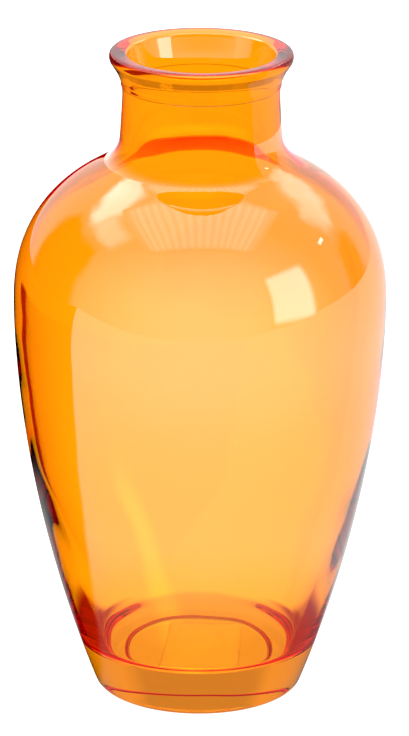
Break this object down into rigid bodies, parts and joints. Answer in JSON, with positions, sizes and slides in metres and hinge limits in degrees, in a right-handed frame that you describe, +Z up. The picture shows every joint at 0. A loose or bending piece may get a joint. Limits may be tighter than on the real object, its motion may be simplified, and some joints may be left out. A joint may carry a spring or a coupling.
{
  "type": "bud vase",
  "caption": "Thick-footed bottle-shaped glass bud vase with an orange translucent coat, broad shoulders and a short flared neck, made to hold a short stem in water.",
  "frame": {"origin": "centre of the foot, on the plane that the bearing ring stands on", "axes": "+Z up along the vase's axis of revolution, from the foot to the mouth; +Y away from the front"},
  "size_m": [0.0944, 0.0944, 0.168],
  "materials": {
    "coated_glass": "clear soda-lime glass, glossy, with an orange translucent coat sprayed on the outside only",
    "label_paper": "plain uncoated off-white label paper with nothing printed on it"
  },
  "bodies": {
    "root": {"vase_glass": "coated_glass", "foot_label": "label_paper"}
  },
  "joints": []
}
